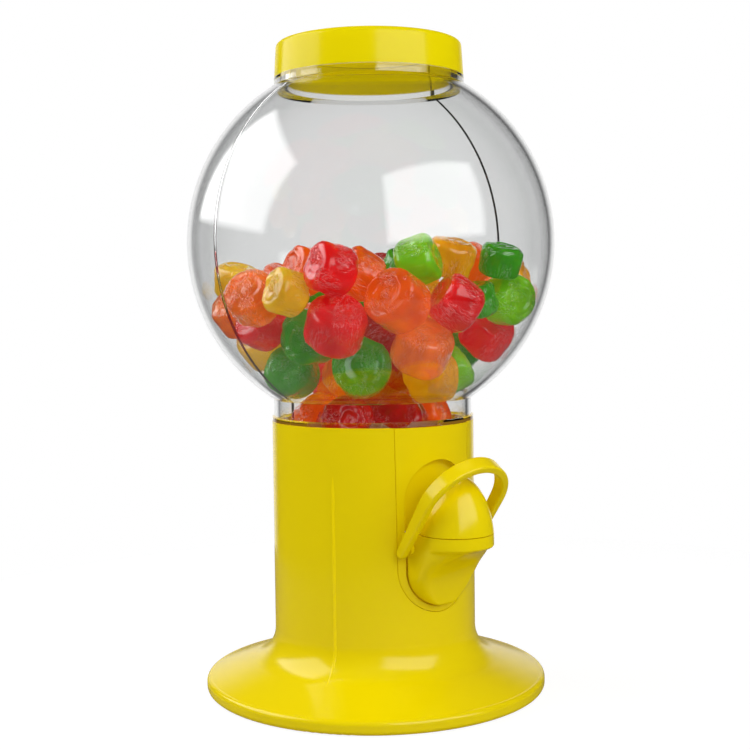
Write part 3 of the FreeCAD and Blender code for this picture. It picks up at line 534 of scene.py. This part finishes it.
class CandyRoller:
    """Rolls candies into one mesh with swirled ends, streaked sides and soft dents."""

    EDGE_SHARE = 0.38
    END_START = 0.72
    END_REACH = 0.2
    WAVER_TURN = 1.5
    WAVER_SCALE = 1.5
    STREAK_SCALE = 9
    STREAK_SLOPE = 0.15
    DENT_SCALE = 1.4

    def __init__(self, look):
        self.look = look
        self.points = []
        self.rolled = []
        self.faces = []

    def ring_point(self, barrel, r, h, angle, seed):
        """Radius and height of a ring's point after the swirl and the streaks."""
        look = self.look
        share = r / barrel.radius
        across, along = math.cos(angle), math.sin(angle)
        on_end = max(0.0, min(1.0, (abs(h) / barrel.half_height - self.END_START) / self.END_REACH))
        wave_place = Vector((self.WAVER_SCALE * across, self.WAVER_SCALE * along, 3 * share + seed))
        waver = self.WAVER_TURN * noise.noise(wave_place)
        swirl = 0.5 + 0.5 * math.cos(angle - 2 * math.pi * look.swirl_turns * share + seed + waver)
        sink = look.swirl_depth * (0.5 + 0.5 * math.sin(5 * seed)) * swirl * on_end * min(1.0, 3 * share)
        slope = self.STREAK_SLOPE * h / barrel.radius
        streak = noise.noise(Vector((self.STREAK_SCALE * across, self.STREAK_SCALE * along, slope + seed)))
        r -= look.streak_depth * max(0.0, streak) * (1 - on_end)
        h -= math.copysign(sink, h)
        return r, h

    def roll(self, barrel, seed):
        """Add one candy, with its own frame set aside from the others' for its noise."""
        look = self.look
        side_way = barrel.axis.orthogonal().normalized()
        cross_way = barrel.axis.cross(side_way)
        rings = barrel_profile(barrel.radius, barrel.half_height, self.EDGE_SHARE * barrel.radius)
        first = len(self.points)
        aside = Vector((0.05 * seed, 0.03 * seed, 0.0))
        dent_place = Vector((seed, 2 * seed, 0))
        top = barrel.half_height - look.swirl_depth / 2
        self.points.append(barrel.middle + barrel.axis * top)
        self.rolled.append(aside + Vector((0.0, 0.0, top)))
        for r, h in rings:
            for step in range(look.segments):
                angle = 2 * math.pi * step / look.segments
                ring_r, ring_h = self.ring_point(barrel, r, h, angle, seed)
                own = Vector((ring_r * math.cos(angle), ring_r * math.sin(angle), ring_h))
                dent = max(0.0, noise.noise(own / barrel.radius * self.DENT_SCALE + dent_place))
                own *= 1 - look.dent_depth / barrel.radius * dent
                self.rolled.append(aside + own)
                self.points.append(barrel.middle + side_way * own.x + cross_way * own.y + barrel.axis * own.z)
        self.points.append(barrel.middle - barrel.axis * top)
        self.rolled.append(aside - Vector((0.0, 0.0, top)))
        self.skin(first, len(rings))

    def skin(self, first, ring_count):
        """Join the rings of the candy that starts at a point, and close both its ends."""
        count = self.look.segments
        last = first + 1 + ring_count * count
        for step in range(count):
            after = (step + 1) % count
            self.faces.append((first, first + 1 + step, first + 1 + after))
            for ring in range(ring_count - 1):
                here = first + 1 + ring * count
                self.faces.append((here + step, here + count + step, here + count + after, here + after))
            base = last - count
            self.faces.append((base + step, last, base + after))

    def finish(self, name):
        mesh = bpy.data.meshes.new(name)
        mesh.from_pydata(self.points, [], self.faces)
        mesh.update()
        mesh.polygons.foreach_set("use_smooth", [True] * len(mesh.polygons))
        own_frame = mesh.attributes.new("rolled", "FLOAT_VECTOR", "POINT")
        own_frame.data.foreach_set("vector", np.array(self.rolled, dtype=np.float32).ravel())
        return put_in_scene(name, mesh)


# Studio


def facing_camera_side():
    """Turn from the camera's own frame, which looks along +Y, to the machine's frame."""
    return Matrix.Rotation(-SPOUT_BEARING, 4, "Z")


def aimed_at_globe(turn, distance):
    """Place for a lamp that shines on the globe from a turned direction."""
    globe = Matrix.Translation((0.0, 0.0, GLOBE_MIDDLE))
    return facing_camera_side() @ globe @ turn @ Matrix.Translation((0.0, 0.0, distance))


def studio_camera(look):
    camera = bpy.data.cameras.new("photo_camera")
    camera.sensor_width = 36.0
    camera.lens = look.lens
    camera.dof.use_dof = False
    holder = put_in_scene("photo_camera", camera)
    place = Matrix.Translation((0.0, -look.distance, look.height))
    aim = Matrix.Rotation(-look.yaw, 4, "Z") @ Matrix.Rotation(math.pi / 2 - look.pitch, 4, "X")
    holder.matrix_world = facing_camera_side() @ place @ aim @ Matrix.Rotation(look.roll, 4, "Z")
    bpy.context.scene.camera = holder


def mirror_images(tree, path):
    """Whether light was mirrored on its way."""
    return calculated(tree, "MINIMUM", path.outputs["Glossy Depth"], 1.0)


def straight_through(tree, path):
    """Whether light comes through clear plastic without being mirrored on its way."""
    return calculated(tree, "GREATER_THAN", path.outputs["Is Transmission Ray"], mirror_images(tree, path))


def cloth_mesh(name, corners):
    """Four-cornered grid whose glow fades towards its edges.

    The corners run round the cloth from lower left, in metres across and up."""
    steps = 24
    soft_edge = 0.08
    lower_left, lower_right, upper_right, upper_left = [Vector((x, y, 0.0)) for x, y in corners]
    points = []
    glow = []
    for row in range(steps + 1):
        v = row / steps
        for column in range(steps + 1):
            u = column / steps
            low = lower_left.lerp(lower_right, u)
            points.append(low.lerp(upper_left.lerp(upper_right, u), v))
            glow.append(min(1.0, min(u, 1 - u, v, 1 - v) / soft_edge))
    faces = []
    for row in range(steps):
        for column in range(steps):
            corner = row * (steps + 1) + column
            faces.append((corner, corner + 1, corner + steps + 2, corner + steps + 1))
    mesh = bpy.data.meshes.new(name)
    mesh.from_pydata(points, [], faces)
    mesh.attributes.new("glow", "FLOAT", "POINT").data.foreach_set("value", glow)
    return mesh


def soft_box(name, azimuth, elevation, corners, radiance, distance):
    """Glowing cloth that faces the globe and doesn't show behind it."""
    material, tree, shader = fresh_material(name)
    tree.nodes.remove(shader)
    shine = tree.nodes.new("ShaderNodeEmission")
    level = tree.nodes.new("ShaderNodeAttribute")
    level.attribute_name = "glow"
    tree.links.new(calculated(tree, "MULTIPLY", level.outputs["Fac"], radiance), shine.inputs["Strength"])
    hidden = straight_through(tree, tree.nodes.new("ShaderNodeLightPath"))
    show_mix(tree, hidden, shine.outputs["Emission"], open_way(tree))
    mesh = cloth_mesh(name, corners)
    mesh.materials.append(material)
    cloth = put_in_scene(name, mesh)
    turn = Matrix.Rotation(math.radians(azimuth), 4, "Z") @ Matrix.Rotation(math.radians(90 - elevation), 4, "X")
    cloth.matrix_world = aimed_at_globe(turn, distance)
    cloth.visible_camera = False


def fill_lamp(look):
    """Broad lamp over the camera that doesn't show in the globe."""
    lamp = bpy.data.lights.new("fill_lamp", "AREA")
    lamp.size = look.fill_size
    lamp.energy = look.fill_lamp * math.pi * lamp.size ** 2
    holder = put_in_scene("fill_lamp", lamp)
    holder.matrix_world = aimed_at_globe(Matrix.Rotation(look.fill_tilt, 4, "X"), look.fill_distance)
    holder.visible_camera = False
    holder.visible_glossy = False
    holder.visible_transmission = False


def white_floor(look):
    """Round floor that is seen nearly white and keeps the machine's shadow."""
    mesh = bpy.data.meshes.new("studio_floor")
    disc = bmesh.new()
    bmesh.ops.create_circle(disc, cap_ends=True, radius=look.floor_radius, segments=128)
    disc.to_mesh(mesh)
    disc.free()
    floor = put_in_scene("studio_floor", mesh)
    floor.matrix_world = facing_camera_side() @ Matrix.Translation(FLOOR_MIDDLE)
    material, tree, shader = fresh_material("studio_floor")
    path = tree.nodes.new("ShaderNodeLightPath")
    paint = colour_between(tree, mirror_images(tree, path), look.floor_white, look.floor_shine)
    tree.links.new(paint, shader.inputs["Base Color"])
    set_inputs(shader, Roughness=0.9)
    paper = tree.nodes.new("ShaderNodeEmission")
    set_inputs(paper, Strength=look.floor_level)
    seen = calculated(tree, "MAXIMUM", path.outputs["Is Camera Ray"], straight_through(tree, path))
    share = calculated(tree, "MULTIPLY", seen, look.floor_paper)
    show_mix(tree, share, shader.outputs["BSDF"], paper.outputs["Emission"])
    mesh.materials.append(material)


def paper_behind(tree, look):
    """How far a direction points at the white paper behind the machine."""
    place = tree.nodes.new("ShaderNodeTexCoord")
    facing = tree.nodes.new("ShaderNodeVectorMath")
    facing.operation = "DOT_PRODUCT"
    facing.inputs[1].default_value = (facing_camera_side() @ Vector(PAPER_WAY)).normalized()
    tree.links.new(place.outputs["Generated"], facing.inputs[0])
    edge = (look.paper_edge, look.paper_edge + look.paper_fade)
    return ranged(tree, facing.outputs["Value"], edge, (0.0, 1.0))


def studio_world(look):
    """White paper behind the machine, and a dim room round the rest of it."""
    world = bpy.data.worlds.new("studio")
    world.use_nodes = True
    bpy.context.scene.world = world
    tree = world.node_tree
    path = tree.nodes.new("ShaderNodeLightPath")
    shows = calculated(tree, "MAXIMUM", path.outputs["Is Glossy Ray"], path.outputs["Is Transmission Ray"])
    paper_share = calculated(tree, "MULTIPLY", paper_behind(tree, look), shows)
    paper_share = calculated(tree, "MAXIMUM", paper_share, path.outputs["Is Camera Ray"])
    in_glass = calculated(tree, "MULTIPLY", straight_through(tree, path), look.room_glass - look.room_grey)
    in_shine = calculated(tree, "MULTIPLY", mirror_images(tree, path), look.room_shine - look.room_grey)
    level = calculated(tree, "ADD", calculated(tree, "ADD", in_glass, in_shine), look.room_grey)
    room = tree.nodes["Background"]
    set_inputs(room, Color=rgba(WHITE))
    tree.links.new(level, room.inputs["Strength"])
    paper = tree.nodes.new("ShaderNodeBackground")
    set_inputs(paper, Color=rgba(WHITE), Strength=1.0)
    show_mix(tree, paper_share, room.outputs["Background"], paper.outputs["Background"], "World Output")


# Steps


class GUMBALL_OT_mouldings(bpy.types.Operator):
    """Give the yellow mouldings and the plain pieces their finish"""

    bl_idname = "gumball.mouldings"
    bl_label = "Finish mouldings"

    def execute(self, context):
        look = context.scene.gumball_mouldings
        yellow = yellow_finish("yellow_plastic", look.warm_yellow, look.yellow, look.wall_through, look)
        for node in YELLOW_MOULDINGS:
            give(node, yellow)
        give("lid", yellow_finish("lid_plastic", look.lid_yellow, look.lid_yellow, look.lid_through, look))
        line = parting_line(look)
        # Painted highlight: the parting line gets a lighter yellow than the wall.
        painted_highlight_yellow = [min(1.0, look.line_painted_highlight * channel) for channel in look.yellow]
        line.data.materials.append(yellow_finish("line_plastic_painted_highlight", painted_highlight_yellow, painted_highlight_yellow, look.wall_through, look))
        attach(line, "root")
        steel = plain_finish("plated_steel", look.steel, 0.28, 1.0)
        for node in STEEL_PIECES:
            give(node, steel)
        give("chute", plain_finish("chute_white", look.chute_white, 0.45))
        give("foot_pads", plain_finish("pad_rubber", look.rubber, 0.7))
        return {"FINISHED"}


class GUMBALL_OT_globe(bpy.types.Operator):
    """Make the two globe shells clear and draw the painted shade of their seam"""

    bl_idname = "gumball.globe"
    bl_label = "Clear globe"

    def execute(self, context):
        look = context.scene.gumball_globe
        clear = clear_finish(look)
        for node in GLOBE_SHELLS:
            give(node, clear)
        shade = plain_finish("seam_shade", look.seam, 0.8)
        for name, radius in (("seam_outside", look.radius), ("seam_inside", look.radius - look.wall)):
            seam = seam_line(name, radius, look.seam_width)
            seam.data.materials.append(shade)
            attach(seam, "root")
        return {"FINISHED"}


class GUMBALL_OT_candies(bpy.types.Operator):
    """Roll a detailed candy in place of every plain one"""

    bl_idname = "gumball.candies"
    bl_label = "Roll candies"

    def execute(self, context):
        look = context.scene.gumball_candies
        for flavour in CANDY_FLAVOURS:
            node = "candies_" + flavour
            roller = CandyRoller(look)
            for index, points in enumerate(loose_islands(NODES[node].data)):
                roller.roll(Barrel(points), 1.7 * index + len(flavour))
            heap = roller.finish("rolled_" + flavour)
            heap.data.materials.append(candy_finish("candy_" + flavour, getattr(look, flavour), look))
            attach(heap, "root")
            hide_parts(node)
        return {"FINISHED"}


class GUMBALL_OT_studio(bpy.types.Operator):
    """Set up the floor, the white surround, the lamps and the camera"""

    bl_idname = "gumball.studio"
    bl_label = "Set up studio"

    def execute(self, context):
        look = context.scene.gumball_studio
        context.scene.view_settings.view_transform = "Standard"
        white_floor(look)
        studio_world(look)
        left = ((-0.33, -0.16), (0.36, -0.21), (0.34, 0.23), (-0.19, 0.27))
        soft_box("left_soft_box", -97.0, 27.0, left, look.left_lamp, look.lamp_distance)
        right = ((-0.38, -0.21), (0.28, -0.15), (0.26, 0.22), (-0.30, 0.23))
        soft_box("right_soft_box", 43.0, 19.0, right, look.right_lamp, look.lamp_distance)
        fill_lamp(look)
        studio_camera(look)
        return {"FINISHED"}


class GUMBALL_PT_panel(bpy.types.Panel):
    """Sidebar panel with the steps that dress the machine"""

    bl_idname = "GUMBALL_PT_panel"
    bl_label = "Gumball Machine"
    bl_space_type = "VIEW_3D"
    bl_region_type = "UI"
    bl_category = "Gumball"

    def draw(self, context):
        layout = self.layout
        for step in STEPS:
            layout.operator(step.bl_idname)
        for name in LOOKS:
            box = layout.box()
            look = getattr(context.scene, name)
            for field in look.bl_rna.properties:
                if field.identifier not in ("rna_type", "name"):
                    box.prop(look, field.identifier)


LOOKS = {
    "gumball_mouldings": GumballMouldings,
    "gumball_globe": GumballGlobe,
    "gumball_candies": GumballCandies,
    "gumball_studio": GumballStudio,
}
STEPS = (GUMBALL_OT_mouldings, GUMBALL_OT_globe, GUMBALL_OT_candies, GUMBALL_OT_studio)


def register():
    for group in LOOKS.values():
        bpy.utils.register_class(group)
    for step in STEPS:
        bpy.utils.register_class(step)
    bpy.utils.register_class(GUMBALL_PT_panel)
    for name, group in LOOKS.items():
        setattr(bpy.types.Scene, name, PointerProperty(type=group))


def unregister():
    for name in LOOKS:
        delattr(bpy.types.Scene, name)
    bpy.utils.unregister_class(GUMBALL_PT_panel)
    for step in reversed(STEPS):
        bpy.utils.unregister_class(step)
    for group in reversed(LOOKS.values()):
        bpy.utils.unregister_class(group)


def main():
    register()
    bpy.ops.gumball.mouldings()
    bpy.ops.gumball.globe()
    bpy.ops.gumball.candies()
    bpy.ops.gumball.studio()


if __name__ == "__main__":
    main()
